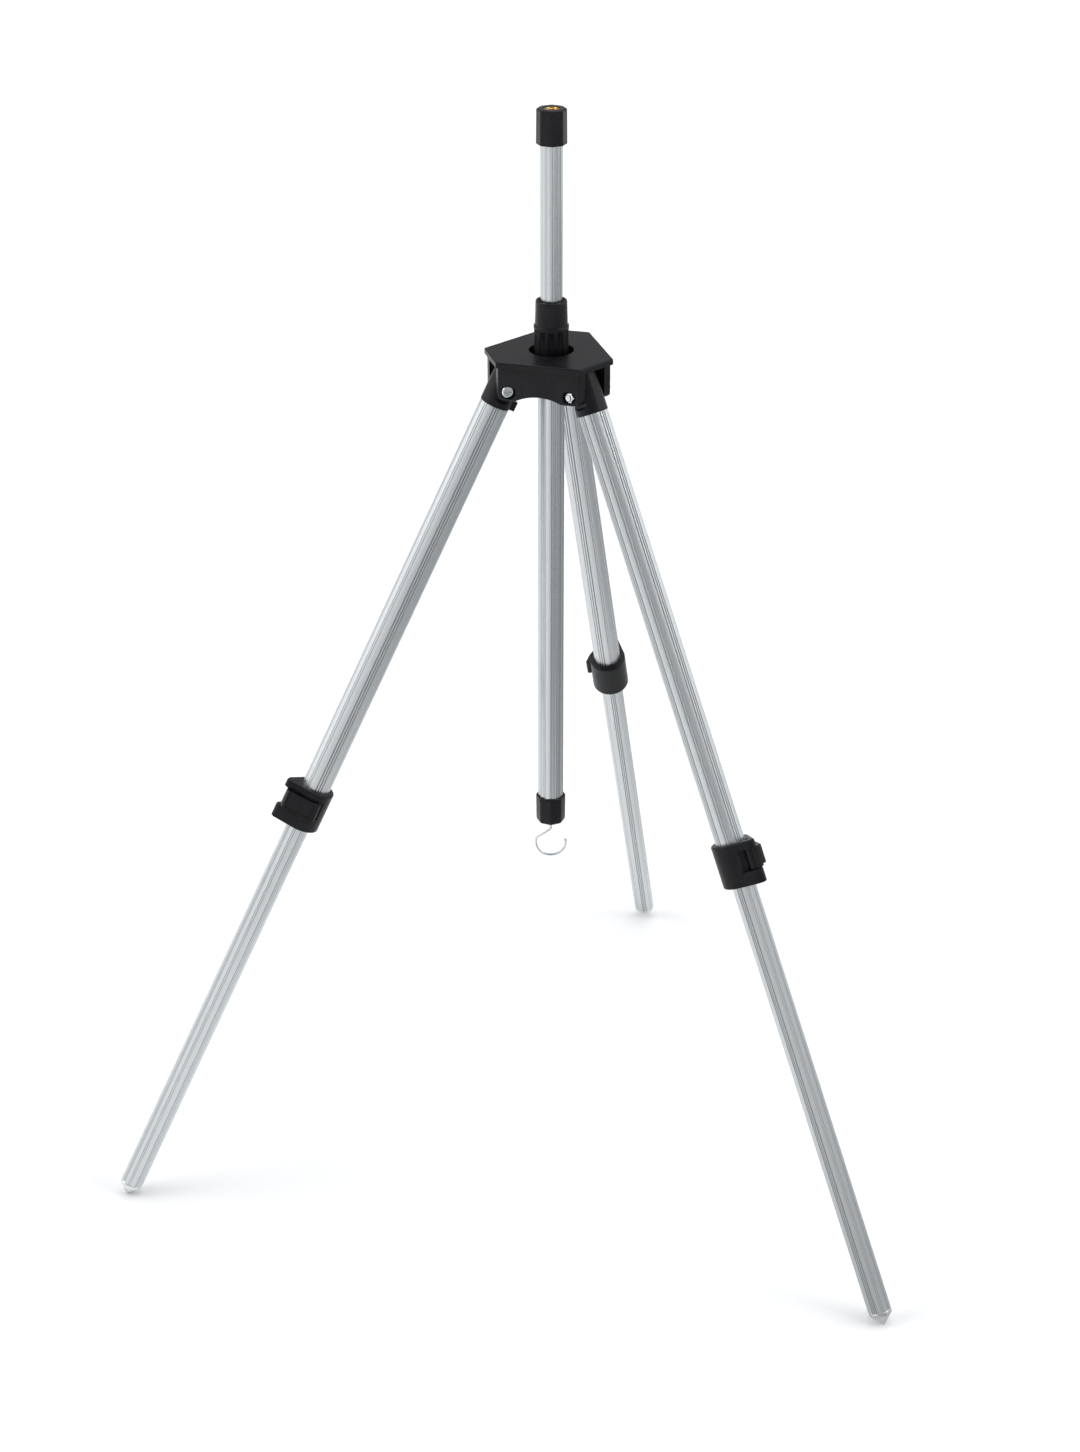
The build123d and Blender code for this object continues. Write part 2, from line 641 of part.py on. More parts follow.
makers = {
    "knuckle": make_knuckle,
    "upper_tube": make_upper_tube,
    "lower_tube": make_lower_tube,
    "guide_bush": make_leg_bush,
    "foot_spike": make_spike,
    "lock_collar": make_collar,
    "lock_pin": make_lock_pin,
    "brake_shoe": make_shoe,
    "lock_lever": make_lever,
    "pivot_bolt": make_bolt,
    "pivot_nut": make_nut,
}
for leg, azimuth in LEGS.items():
    for piece, make in makers.items():
        built = make(azimuth)
        name = f"leg_{leg}_{piece}"
        built.part.label = name
        export_step(built.part, f"parts/{name}.step")
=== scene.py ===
import json
import math
from math import sin, cos, pi, radians, degrees, sqrt, atan2

import bmesh
import bpy
from mathutils import Matrix, Vector


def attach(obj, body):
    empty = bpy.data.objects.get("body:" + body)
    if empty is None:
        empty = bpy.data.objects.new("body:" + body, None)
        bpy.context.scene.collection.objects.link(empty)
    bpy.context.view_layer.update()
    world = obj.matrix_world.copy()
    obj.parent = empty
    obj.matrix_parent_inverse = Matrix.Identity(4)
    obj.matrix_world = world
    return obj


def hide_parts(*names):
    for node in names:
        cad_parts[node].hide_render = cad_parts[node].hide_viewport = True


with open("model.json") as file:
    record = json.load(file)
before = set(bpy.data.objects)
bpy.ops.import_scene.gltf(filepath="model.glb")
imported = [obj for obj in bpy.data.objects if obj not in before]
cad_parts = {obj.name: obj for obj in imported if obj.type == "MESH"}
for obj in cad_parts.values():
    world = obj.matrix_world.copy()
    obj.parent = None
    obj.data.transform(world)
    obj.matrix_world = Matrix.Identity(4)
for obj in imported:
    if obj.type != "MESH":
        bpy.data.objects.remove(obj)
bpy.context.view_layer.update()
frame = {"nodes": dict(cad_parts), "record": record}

MM = 0.001
NODES = frame["nodes"]
SPLAY = radians(25.865)
FOOT_R = 407.5
LEGS = {"a": -150.0, "b": -30.0, "c": 90.0}


# ------------------------------------------------------------------ frames
def leg_matrix(az, s=0.0, turn=0.0):
    """Leg's own frame in mm: X away from the column, Y round it, Z up the leg."""
    a = radians(az)
    out = Vector((cos(a) * cos(SPLAY), sin(a) * cos(SPLAY), sin(SPLAY)))
    side = Vector((-sin(a), cos(a), 0))
    along = Vector((-cos(a) * sin(SPLAY), -sin(a) * sin(SPLAY), cos(SPLAY)))
    foot = Vector((FOOT_R * cos(a), FOOT_R * sin(a), 0)) + along * s
    t = radians(turn)
    x = out * cos(t) + side * sin(t)
    y = -out * sin(t) + side * cos(t)
    m = Matrix((x, y, along)).transposed().to_4x4()
    m.translation = foot
    return m


def pivot_matrix(az, sign=1):
    """Frame of a leg's pivot in mm: Z along the bolt, X outward."""
    a = radians(az)
    radial = Vector((cos(a), sin(a), 0))
    side = Vector((-sin(a), cos(a), 0)) * sign
    y = side.cross(radial)
    m = Matrix((radial, y, side)).transposed().to_4x4()
    m.translation = Vector((42.3 * cos(a), 42.3 * sin(a), 757.5))
    return m


def column_matrix(z=0.0, turn=0.0):
    return Matrix.Translation((0, 0, z)) @ Matrix.Rotation(radians(turn), 4, "Z")


# ------------------------------------------------------------------ meshes
def make_object(name, verts, faces, matrix, mat, uvs=None, smooth=35.0):
    """A closed mesh from points in mm in a local frame, put in the row's frame in metres."""
    mesh = bpy.data.meshes.new(name)
    mesh.from_pydata([tuple(v) for v in verts], [], faces)
    if uvs is not None:
        layer = mesh.uv_layers.new(name="UVMap")
        for loop, uv in zip(layer.data, uvs):
            loop.uv = uv
    mesh.transform(Matrix.Scale(MM, 4) @ matrix)
    bm = bmesh.new()
    bm.from_mesh(mesh)
    bmesh.ops.recalc_face_normals(bm, faces=bm.faces)
    bm.to_mesh(mesh)
    bm.free()
    for p in mesh.polygons:
        p.use_smooth = True
    mesh.set_sharp_from_angle(angle=radians(smooth))
    obj = bpy.data.objects.new(name, mesh)
    bpy.context.scene.collection.objects.link(obj)
    mesh.materials.append(mat)
    return obj


def rounded(points, steps=5, closed=True):
    """A polyline of (x, y, radius) with its corners rounded."""
    out = []
    n = len(points)
    for i, p in enumerate(points):
        r = p[2] if len(p) > 2 else 0.0
        if r <= 0 or (not closed and i in (0, n - 1)):
            out.append((p[0], p[1]))
            continue
        a, b, c = Vector(points[i - 1][:2]), Vector(p[:2]), Vector(points[(i + 1) % n][:2])
        u, v = (a - b), (c - b)
        lu, lv = u.length, v.length
        if lu < 1e-9 or lv < 1e-9:
            out.append((p[0], p[1]))
            continue
        u /= lu
        v /= lv
        ang = math.acos(max(-1, min(1, u.dot(v))))
        if ang > pi - 1e-3:
            out.append((p[0], p[1]))
            continue
        cut = min(r / math.tan(ang / 2), 0.48 * lu, 0.48 * lv)
        rr = cut * math.tan(ang / 2)
        centre = b + (u + v).normalized() * (rr / sin(ang / 2))
        p0, p1 = b + u * cut, b + v * cut
        a0 = atan2(p0.y - centre.y, p0.x - centre.x)
        a1 = atan2(p1.y - centre.y, p1.x - centre.x)
        d = (a1 - a0 + pi) % (2 * pi) - pi
        for k in range(steps + 1):
            t = a0 + d * k / steps
            out.append((centre.x + rr * cos(t), centre.y + rr * sin(t)))
    return out


def lathe(name, profile, matrix, mat, n=96, radius=None, smooth=35.0):
    """A closed profile of (r, z) turned about Z. radius(angle, r, z) may change r round the axis."""
    verts, faces, uvs = [], [], []
    m = len(profile)
    length = [0.0]
    for i in range(m):
        a, b = profile[i], profile[(i + 1) % m]
        length.append(length[-1] + math.hypot(b[0] - a[0], b[1] - a[1]))
    index = []
    for i, (r, z) in enumerate(profile):
        if abs(r) < 1e-7:
            index.append([len(verts)] * n)
            verts.append((0, 0, z))
            continue
        row = []
        for k in range(n):
            t = 2 * pi * k / n
            rr = radius(t, r, z) if radius else r
            row.append(len(verts))
            verts.append((rr * cos(t), rr * sin(t), z))
        index.append(row)
    for i in range(m):
        j = (i + 1) % m
        for k in range(n):
            q = (k + 1) % n
            face = []
            for v, uv in ((index[i][k], (k / n, length[i])), (index[i][q], ((k + 1) / n, length[i])),
                          (index[j][q], ((k + 1) / n, length[i + 1])), (index[j][k], (k / n, length[i + 1]))):
                if v not in [f[0] for f in face]:
                    face.append((v, uv))
            if len(face) >= 3:
                faces.append([f[0] for f in face])
                uvs.extend((f[1][0], f[1][1] * MM) for f in face)
    return make_object(name, verts, faces, matrix, mat, uvs, smooth)


def tube(name, outline, inner, s0, s1, matrix, mat, edge=0.25, steps=1):
    """A drawn tube: its outside is a closed outline of (angle, radius, painted shade), its bore is round."""
    shades = [p[2] for p in outline]
    outline = [p[:2] for p in outline]
    n = len(outline)
    mean = sum(r for _, r in outline) / n
    rings = []
    # bore bottom, end faces and outside, from the inside out and back
    rings.append([(inner, s0 + edge * 0.4)] * n)
    rings.append([(inner + 0.15, s0)] * n)
    rings.append([(r - edge, s0) for _, r in outline])
    rings.append([(r, s0 + edge) for _, r in outline])
    for k in range(1, steps):
        z = s0 + edge + (s1 - s0 - 2 * edge) * k / steps
        rings.append([(r, z) for _, r in outline])
    rings.append([(r, s1 - edge) for _, r in outline])
    rings.append([(r - edge, s1) for _, r in outline])
    rings.append([(inner + 0.15, s1)] * n)
    rings.append([(inner, s1 - edge * 0.4)] * n)
    verts, faces, uvs = [], [], []
    for ring in rings:
        for (t, _), (r, z) in zip(outline, ring):
            verts.append((r * cos(t), r * sin(t), z))
    m = len(rings)
    for i in range(m):
        j = (i + 1) % m
        for k in range(n):
            q = (k + 1) % n
            faces.append([i * n + k, i * n + q, j * n + q, j * n + k])
            u0, u1 = k / n, (k + 1) / n
            z0, z1 = rings[i][k][1] * MM, rings[j][k][1] * MM
            uvs.extend([(u0, z0), (u1, z0), (u1, z1), (u0, z1)])
    obj = make_object(name, verts, faces, matrix, mat, uvs, 14.0)
    # painted shade: a factor per point, darker in grooves and on flute flanks, multiplied into the base colour
    layer = obj.data.attributes.new("shade", "FLOAT", "POINT")
    layer.data.foreach_set("value", [shades[i % n] for i in range(len(verts))])
    return obj


def stack(name, layers, matrix, mat, smooth=35.0):
    """A solid of level outlines: layers are (z, [(x, y)...]) with one count of points."""
    n = len(layers[0][1])
    verts = [(x, y, z) for z, ring in layers for x, y in ring]
    faces = [list(range(n))[::-1]]
    for i in range(len(layers) - 1):
        for k in range(n):
            q = (k + 1) % n
            faces.append([i * n + k, i * n + q, (i + 1) * n + q, (i + 1) * n + k])
    faces.append([(len(layers) - 1) * n + k for k in range(n)])
    return make_object(name, verts, faces, matrix, mat, None, smooth)


def sweep(name, path, r, matrix, mat, sides=20, start_round=True, end_round=True):
    """A round wire along points, with domed ends. Frames are carried along without twist."""
    pts = [Vector(p) for p in path]
    tangents = []
    for i in range(len(pts)):
        a = pts[max(0, i - 1)]
        b = pts[min(len(pts) - 1, i + 1)]
        tangents.append((b - a).normalized())
    normal = tangents[0].orthogonal().normalized()
    rings = []
    dome = 4

    def ring(centre, t, nrm, rr):
        b = t.cross(nrm)
        return [centre + (nrm * cos(2 * pi * k / sides) + b * sin(2 * pi * k / sides)) * rr
                for k in range(sides)]

    frames = []
    for i, t in enumerate(tangents):
        if i:
            normal = (normal - t * normal.dot(t)).normalized()
        frames.append((pts[i], t, normal.copy()))
    c, t, nrm = frames[0]
    cap0 = c - t * (r * 0.35 if start_round else 0.0)
    for k in range(dome, 0, -1) if start_round else ():
        a = k / dome * pi / 2
        if k == dome:
            continue
        rings.append(ring(c - t * (r * 0.35 * sin(a)), t, nrm, r * cos(a * 0.98)))
    for c, t, nrm in frames:
        rings.append(ring(c, t, nrm, r))
    c, t, nrm = frames[-1]
    cap1 = c + t * (r * 0.35 if end_round else 0.0)
    for k in range(1, dome) if end_round else ():
        a = k / dome * pi / 2
        rings.append(ring(c + t * (r * 0.35 * sin(a)), t, nrm, r * cos(a * 0.98)))
    verts = [v for rg in rings for v in rg]
    faces = []
    for i in range(len(rings) - 1):
        for k in range(sides):
            q = (k + 1) % sides
            faces.append([i * sides + k, i * sides + q, (i + 1) * sides + q, (i + 1) * sides + k])
    base = len(verts)
    verts.append(cap0)
    verts.append(cap1)
    for k in range(sides):
        q = (k + 1) % sides
        faces.append([base, q, k])
        faces.append([base + 1, (len(rings) - 1) * sides + k, (len(rings) - 1) * sides + q])
    return make_object(name, verts, faces, matrix, mat, None, 60.0)


# ------------------------------------------------------------------ materials
def new_material(name, color, metallic, roughness, specular=0.5):
    m = bpy.data.materials.new(name)
    m.use_nodes = True
    m.diffuse_color = (*color, 1)
    b = m.node_tree.nodes["Principled BSDF"]
    b.inputs["Base Color"].default_value = (*color, 1)
    b.inputs["Metallic"].default_value = metallic
    b.inputs["Roughness"].default_value = roughness
    b.inputs["Specular IOR Level"].default_value = specular
    return m, m.node_tree, b


def node(tree, kind, **inputs):
    n = tree.nodes.new(kind)
    for key, value in inputs.items():
        n.inputs[key.replace("_", " ")].default_value = value
    return n


def ramp(tree, source, low, high, c0, c1):
    n = tree.nodes.new("ShaderNodeValToRGB")
    n.color_ramp.elements[0].position = low
    n.color_ramp.elements[0].color = (*c0, 1)
    n.color_ramp.elements[1].position = high
    n.color_ramp.elements[1].color = (*c1, 1)
    tree.links.new(source, n.inputs["Fac"])
    return n


def scalar(tree, source, a, b, c, d):
    n = tree.nodes.new("ShaderNodeMapRange")
    for key, v in (("From Min", a), ("From Max", b), ("To Min", c), ("To Max", d)):
        n.inputs[key].default_value = v
    tree.links.new(source, n.inputs["Value"])
    return n


def drawn_aluminium(name, base, rough, shade=0.05):
    """Clear anodised drawn tube: long fine die lines, painted shade darker in the grooves, satin."""
    m, t, b = new_material(name, base, 1.0, rough)
    uv = t.nodes.new("ShaderNodeUVMap")
    uv.uv_map = "UVMap"
    mp = t.nodes.new("ShaderNodeMapping")
    mp.inputs["Scale"].default_value = (240.0, 2.2, 1.0)
    t.links.new(uv.outputs["UV"], mp.inputs["Vector"])
    lines = node(t, "ShaderNodeTexNoise", Scale=1.0, Detail=3.0, Roughness=0.6)
    t.links.new(mp.outputs["Vector"], lines.inputs["Vector"])
    co = t.nodes.new("ShaderNodeTexCoord")
    cloud = node(t, "ShaderNodeTexNoise", Scale=26.0, Detail=2.0, Roughness=0.5)
    t.links.new(co.outputs["Object"], cloud.inputs["Vector"])
    dark = tuple(c * (1 - shade) for c in base)
    lite = tuple(min(1.0, c * (1 + shade * 0.7)) for c in base)
    col = ramp(t, lines.outputs["Fac"], 0.3, 0.7, dark, lite)
    # the shade attribute is painted shade: it darkens the colour in grooves and on flute flanks
    groove_shade = t.nodes.new("ShaderNodeAttribute")
    groove_shade.attribute_name = "shade"
    deepen = t.nodes.new("ShaderNodeVectorMath")
    deepen.operation = "SCALE"
    t.links.new(col.outputs["Color"], deepen.inputs[0])
    t.links.new(groove_shade.outputs["Fac"], deepen.inputs["Scale"])
    t.links.new(deepen.outputs["Vector"], b.inputs["Base Color"])
    mix = t.nodes.new("ShaderNodeMath")
    mix.operation = "ADD"
    r1 = scalar(t, lines.outputs["Fac"], 0.3, 0.7, -0.03, 0.03)
    r2 = scalar(t, cloud.outputs["Fac"], 0.3, 0.7, rough - 0.012, rough + 0.012)
    t.links.new(r1.outputs["Result"], mix.inputs[0])
    t.links.new(r2.outputs["Result"], mix.inputs[1])
    t.links.new(mix.outputs["Value"], b.inputs["Roughness"])
    bump = node(t, "ShaderNodeBump", Strength=0.06, Distance=0.00005)
    t.links.new(lines.outputs["Fac"], bump.inputs["Height"])
    t.links.new(bump.outputs["Normal"], b.inputs["Normal"])
    return m


def moulded_plastic(name, base, rough, grain=0.25, scale=1600.0, specular=0.32):
    """Glass-filled nylon, fine spark-eroded grain with a soft sheen and faint flow marks."""
    m, t, b = new_material(name, base, 0.0, rough, specular)
    co = t.nodes.new("ShaderNodeTexCoord")
    fine = node(t, "ShaderNodeTexNoise", Scale=scale, Detail=3.0, Roughness=0.62)
    t.links.new(co.outputs["Object"], fine.inputs["Vector"])
    flow = node(t, "ShaderNodeTexNoise", Scale=55.0, Detail=3.0, Roughness=0.55)
    t.links.new(co.outputs["Object"], flow.inputs["Vector"])
    lite = tuple(c * 1.35 + 0.003 for c in base)
    dark = tuple(c * 0.8 for c in base)
    col = ramp(t, flow.outputs["Fac"], 0.3, 0.72, dark, lite)
    t.links.new(col.outputs["Color"], b.inputs["Base Color"])
    mix = t.nodes.new("ShaderNodeMath")
    mix.operation = "ADD"
    r1 = scalar(t, fine.outputs["Fac"], 0.3, 0.7, -0.05, 0.06)
    r2 = scalar(t, flow.outputs["Fac"], 0.3, 0.7, rough - 0.04, rough + 0.05)
    t.links.new(r1.outputs["Result"], mix.inputs[0])
    t.links.new(r2.outputs["Result"], mix.inputs[1])
    t.links.new(mix.outputs["Value"], b.inputs["Roughness"])
    bump = node(t, "ShaderNodeBump", Strength=grain, Distance=0.00008)
    t.links.new(fine.outputs["Fac"], bump.inputs["Height"])
    t.links.new(bump.outputs["Normal"], b.inputs["Normal"])
    return m


def plated_metal(name, base, rough, tint, scale=420.0):
    """Plated or turned metal: fine marks and a faint drift of colour."""
    m, t, b = new_material(name, base, 1.0, rough)
    co = t.nodes.new("ShaderNodeTexCoord")
    a = node(t, "ShaderNodeTexNoise", Scale=scale, Detail=4.0, Roughness=0.6)
    t.links.new(co.outputs["Object"], a.inputs["Vector"])
    c = node(t, "ShaderNodeTexNoise", Scale=120.0, Detail=2.0, Roughness=0.5)
    t.links.new(co.outputs["Object"], c.inputs["Vector"])
    col = ramp(t, c.outputs["Fac"], 0.32, 0.7, base, tint)
    t.links.new(col.outputs["Color"], b.inputs["Base Color"])
    r1 = scalar(t, a.outputs["Fac"], 0.3, 0.7, rough - 0.06, rough + 0.09)
    t.links.new(r1.outputs["Result"], b.inputs["Roughness"])
    bump = node(t, "ShaderNodeBump", Strength=0.18, Distance=0.00005)
    t.links.new(a.outputs["Fac"], bump.inputs["Height"])
    t.links.new(bump.outputs["Normal"], b.inputs["Normal"])
    return m


LEG_ALU = drawn_aluminium("leg_aluminium_look", (0.64, 0.665, 0.675), 0.31, 0.05)
COL_ALU = drawn_aluminium("column_aluminium_look", (0.60, 0.625, 0.635), 0.27, 0.05)
BLACK = moulded_plastic("black_plastic_look", (0.0052, 0.0055, 0.0066), 0.33, specular=0.2)
BLACK_FINE = moulded_plastic("black_plastic_fine_look", (0.0046, 0.0049, 0.0059), 0.27, 0.12, specular=0.2)
NYLON = moulded_plastic("bush_plastic_look", (0.03, 0.03, 0.031), 0.5)
ZINC = plated_metal("zinc_look", (0.78, 0.79, 0.785), 0.2, (0.56, 0.59, 0.61))
BRASS = plated_metal("brass_look", (0.66, 0.43, 0.15), 0.24, (0.48, 0.29, 0.09))

LOOK = {"black_plastic": BLACK, "bush_plastic": NYLON, "leg_aluminium": LEG_ALU,
        "column_aluminium": COL_ALU, "zinc_steel": ZINC, "brass": BRASS}
slot_of = {s["node"]: s["material_slot"] for s in frame["record"]["subparts"]}
body_of = {n: b for b, ns in frame["record"]["behaviour"]["bodies"].items() for n in ns}
for name, obj in NODES.items():
    mat = LOOK[slot_of[name]]
    obj.data.materials.clear()
    obj.data.materials.append(mat)


def stand_for(obj, cad, extra=()):
    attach(obj, body_of[cad])
    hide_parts(cad, *extra)
    return obj


# ------------------------------------------------------------------ tubes
def smoothstep(x):
    x = max(0.0, min(1.0, x))
    return x * x * (3 - 2 * x)


def groove(d, centre, half):
    x = abs((d - centre + 180) % 360 - 180) / half
    return 0.5 + 0.5 * cos(pi * x) if x < 1 else 0.0


def leg_outline(R, phase, deep, fine, n=900):
    """Fourfold: three grooves close together, then a pair, with plain lands between and fine serrations."""
    out = []
    for k in range(n):
        t = 2 * pi * k / n
        d = (degrees(t) - phase) % 90
        d = d - 90 if d > 60 else d
        wave = 0.5 + 0.5 * cos(2 * pi * degrees(t) / 3.2)
        r = R - fine * (1 - wave)
        # shade is painted shade: a little darker in the serrations' valleys, much darker in the grooves
        shade = 0.965 + 0.035 * wave
        for g in (-10.4, 0.0, 10.4):
            x = groove(d, g, 2.9) ** 0.7
            r -= deep * x
            shade -= 0.46 * x
        for g in (38.0, 47.0):
            x = groove(d, g, 2.2) ** 0.7
            r -= deep * 0.62 * x
            shade -= 0.34 * x
        out.append((t, r, shade))
    return out


def flute_outline(R, count, depth, n=900, phase=0.0):
    """Broad shallow flutes with narrow crests; painted shade darkens their flanks and, a little, one half of each
    flute.
    """
    out = []
    for k in range(n):
        t = 2 * pi * k / n
        ph = (k * count / n + phase) % 1.0
        x = abs(ph - 0.5) * 2  # 0 in mid flute, 1 at the crest
        r = R - depth * (1 - x ** 3)
        # painted shade: darker flanks, and one half of each flute a little darker again
        flank = max(0.0, 1 - abs(x - 0.74) / 0.2)
        one_side = 0.10 if ph > 0.5 else 0.0
        out.append((t, r, 1.0 - 0.30 * smoothstep(flank) - one_side))
    return out


for leg, az in LEGS.items():
    m = leg_matrix(az)
    stand_for(tube(f"leg_{leg}_upper_tube_look", leg_outline(12.5, -6.0, 0.6, 0.07), 11.3, 432.0, 823.0, m, LEG_ALU),
              f"leg_{leg}_upper_tube")
    stand_for(tube(f"leg_{leg}_lower_tube_look", leg_outline(10.15, 18.0, 0.5, 0.10), 9.15, 14.4, 466.0, m, LEG_ALU),
              f"leg_{leg}_lower_tube")
stand_for(tube("column_tube_look", flute_outline(11.3, 14, 0.45), 10.1, 342.5, 812.0, column_matrix(), COL_ALU),
          "column_tube")
stand_for(tube("mast_tube_look", flute_outline(9.1, 12, 0.4, phase=0.5), 8.1, 526.0, 966.0, column_matrix(), COL_ALU),
          "mast_tube")


# ------------------------------------------------------------------ shells of any outline
def shell(name, rings, matrix, mat, smooth=30.0):
    """A closed ring-shaped solid: each ring is (radius(angle), z), taken round the section in turn."""
    n = 288
    verts, faces = [], []
    for radius, z in rings:
        for k in range(n):
            t = 2 * pi * k / n
            r = radius(t) if callable(radius) else radius
            verts.append((r * cos(t), r * sin(t), z))
    m = len(rings)
    for i in range(m):
        j = (i + 1) % m
        for k in range(n):
            q = (k + 1) % n
            faces.append([i * n + k, i * n + q, j * n + q, j * n + k])
    return make_object(name, verts, faces, matrix, mat, None, smooth)


def octagon(R, soft=0.22):
    """Radius of an octagon with a corner on X, its corners taken off a little."""
    apothem = R * cos(pi / 8)

    def radius(t):
        u = (t % (pi / 4)) - pi / 8
        r = apothem / cos(u)
        limit = R - soft
        if r > limit:
            r = limit - (r - limit) * 0.15
        return r
    return radius


def cap_rings(levels, soft=0.22):
    return [(octagon(R, soft), z) for R, z in levels]


def arc_levels(R, z, r, up=True, steps=5):
    """Levels of a rounded rim that ends at height z from a wall of radius R."""
    out = []
    for k in range(steps + 1):
        a = pi / 2 * k / steps
        dz = r * (1 - sin(a))
        out.append((R - r * (1 - cos(a)), z - dz if up else z + dz))
    return out if up else out[::-1]


# top cap: octagon with a rounded crown, seat of the mast below, of the insert above
top = cap_rings([(12.45, 954.3), (12.75, 954.7), (12.74, 955.4)]
                + arc_levels(12.46, 982.45, 1.35, True, 6))
top += [(6.95, 982.45), (6.55, 982.2), (6.36, 981.8), (6.36, 966.0), (9.1, 966.0), (9.1, 954.8), (9.4, 954.3)]
stand_for(shell("mast_top_cap_look", top, column_matrix(0, -75), BLACK_FINE), "mast_top_cap")

# threaded brass insert
prof = [(6.33, 966.0, 0.0), (6.33, 981.7, 0.2), (6.1, 982.0, 0.1), (5.15, 982.0, 0.12), (4.75, 981.5, 0.0)]
prof = [(p[0], p[1]) for p in rounded(prof, 4, closed=False)]
pitch = 25.4 / 16
z = 981.2
while z - pitch > 966.4:
    prof += [(4.72, z), (4.70, z - 0.16), (4.24, z - 0.66), (4.22, z - 0.88), (4.70, z - 1.40)]
    z -= pitch
prof += [(4.3, 966.0)]
stand_for(lathe("brass_insert_look", prof, column_matrix(), BRASS, n=96), "brass_insert")

# end cap: octagon, thin rim at its mouth, a bottom with the hook's hole
end = [(1.2, 339.5), (10.6, 339.5)]
end += cap_rings([(12.1, 339.5), (12.5, 339.75), (12.74, 340.2), (13.0, 341.6), (13.1, 342.3),
                  (13.22, 354.0), (13.30, 362.6)])
end += cap_rings([(13.02, 362.75), (13.02, 363.1), (13.34, 363.25), (13.34, 364.6), (13.1, 364.95)])
end += [(11.65, 365.0), (11.35, 364.6), (11.35, 342.5), (1.2, 342.5)]
stand_for(shell("column_end_cap_look", end, column_matrix(0, -75), BLACK), "column_end_cap")

# lock nut: twelve flutes below a plain crown
def flutes(R, depth):
    def radius(t):
        ph = (t * 12 / (2 * pi)) % 1.0
        x = abs(ph - 0.5) * 2
        return R - depth * (1 - smoothstep((x - 0.52) / 0.34))
    return radius


nut = [(13.05, 772.0), (13.9, 772.0), (flutes(14.3, 0.35), 772.25), (flutes(14.6, 0.62), 772.8),
       (flutes(14.6, 0.66), 790.0), (flutes(14.6, 0.62), 800.6), (flutes(14.6, 0.35), 801.3), (14.55, 801.7),
       (14.35, 801.9), (14.35, 802.3), (14.6, 802.5), (14.6, 804.2), (14.5, 804.7), (14.25, 805.05),
       (14.1, 805.2), (13.98, 805.2), (13.96, 805.0), (13.96, 803.2), (11.72, 803.2), (11.72, 799.5), (12.42, 799.3),
       (13.1, 787.0), (13.02, 786.0)]
stand_for(shell("column_lock_nut_look", nut, column_matrix(), BLACK), "column_lock_nut")

# tapered sleeve of the mast lock
prof = [(12.66, 803.5, 0.0), (13.5, 803.5, 0.15), (13.72, 803.95, 0.3), (13.72, 805.6, 0.1), (13.60, 805.9, 0.1),
        (13.02, 824.7, 0.5), (12.72, 825.55, 0.3), (12.3, 825.8, 0.2), (11.3, 825.8, 0.25), (9.55, 823.7, 0.15),
        (9.55, 822.4, 0.0), (10.82, 822.3, 0.0), (11.52, 814.0, 0.0), (11.52, 812.4, 0.0), (12.66, 812.3, 0.0)]
stand_for(lathe("mast_lock_sleeve_look", rounded(prof, 4, closed=True), column_matrix(), BLACK_FINE, n=128),
          "mast_lock_sleeve")


# nuts on the pivots: hexagons with a turned chamfer
def hexagon(apothem, limit):
    def radius(t):
        u = (t % (pi / 3)) - pi / 6
        return min(apothem / cos(u), limit)
    return radius


for leg, az in LEGS.items():
    rings = [(2.62, 18.6), (4.2, 18.6), (hexagon(3.99, 4.45), 18.8), (hexagon(3.99, 4.60), 19.0),
             (hexagon(3.99, 4.60), 22.05), (hexagon(3.99, 4.35), 22.3), (3.95, 22.55), (3.8, 22.6),
             (2.95, 22.6), (2.62, 22.3)]
    stand_for(shell(f"leg_{leg}_pivot_nut_look", rings, pivot_matrix(az, -1), ZINC), f"leg_{leg}_pivot_nut")


# ------------------------------------------------------------------ spikes
for leg, az in LEGS.items():
    tr, half = 1.0, radians(41.5)
    sc = tr / cos(SPLAY)
    prof = []
    for k in range(7):
        a = -pi / 2 + (pi / 2 - half) * k / 6
        prof.append((tr * cos(a) if k else 0.0, sc + tr * sin(a)))
    rim = prof[-1][1] + (10.0 - prof[-1][0]) / math.tan(half)
    pts = [(prof[-1][0], prof[-1][1])] + [(10.0, rim, 1.2), (10.0, 14.0, 0.35), (9.75, 14.4, 0.1),
                                          (9.1, 14.4), (9.1, 30.4), (0.0, 30.4)]
    prof = prof[:-1] + rounded(pts, 6, closed=False)
    stand_for(lathe(f"leg_{leg}_foot_spike_look", prof, leg_matrix(az), ZINC, n=96),
              f"leg_{leg}_foot_spike")


# ------------------------------------------------------------------ camera, floor, light
scene = bpy.context.scene
cam_data = bpy.data.cameras.new("camera")
cam = bpy.data.objects.new("camera", cam_data)
scene.collection.objects.link(cam)
position = Vector((0.515257, -1.946831, 1.475134))
forward = Vector((-0.23136, 0.85762, -0.45931)).normalized()
right = Vector((0.96559, 0.26008, -0.00077))
right = (right - forward * right.dot(forward)).normalized()
up = right.cross(forward)
rot = Matrix((right, up, -forward)).transposed().to_4x4()
cam.matrix_world = Matrix.Translation(position) @ rot
cam_data.sensor_fit = "AUTO"
cam_data.sensor_width = 36.0
cam_data.lens = 2555.55 / 1452.0 * 36.0
cam_data.clip_start = 0.05
cam_data.clip_end = 60.0
scene.camera = cam

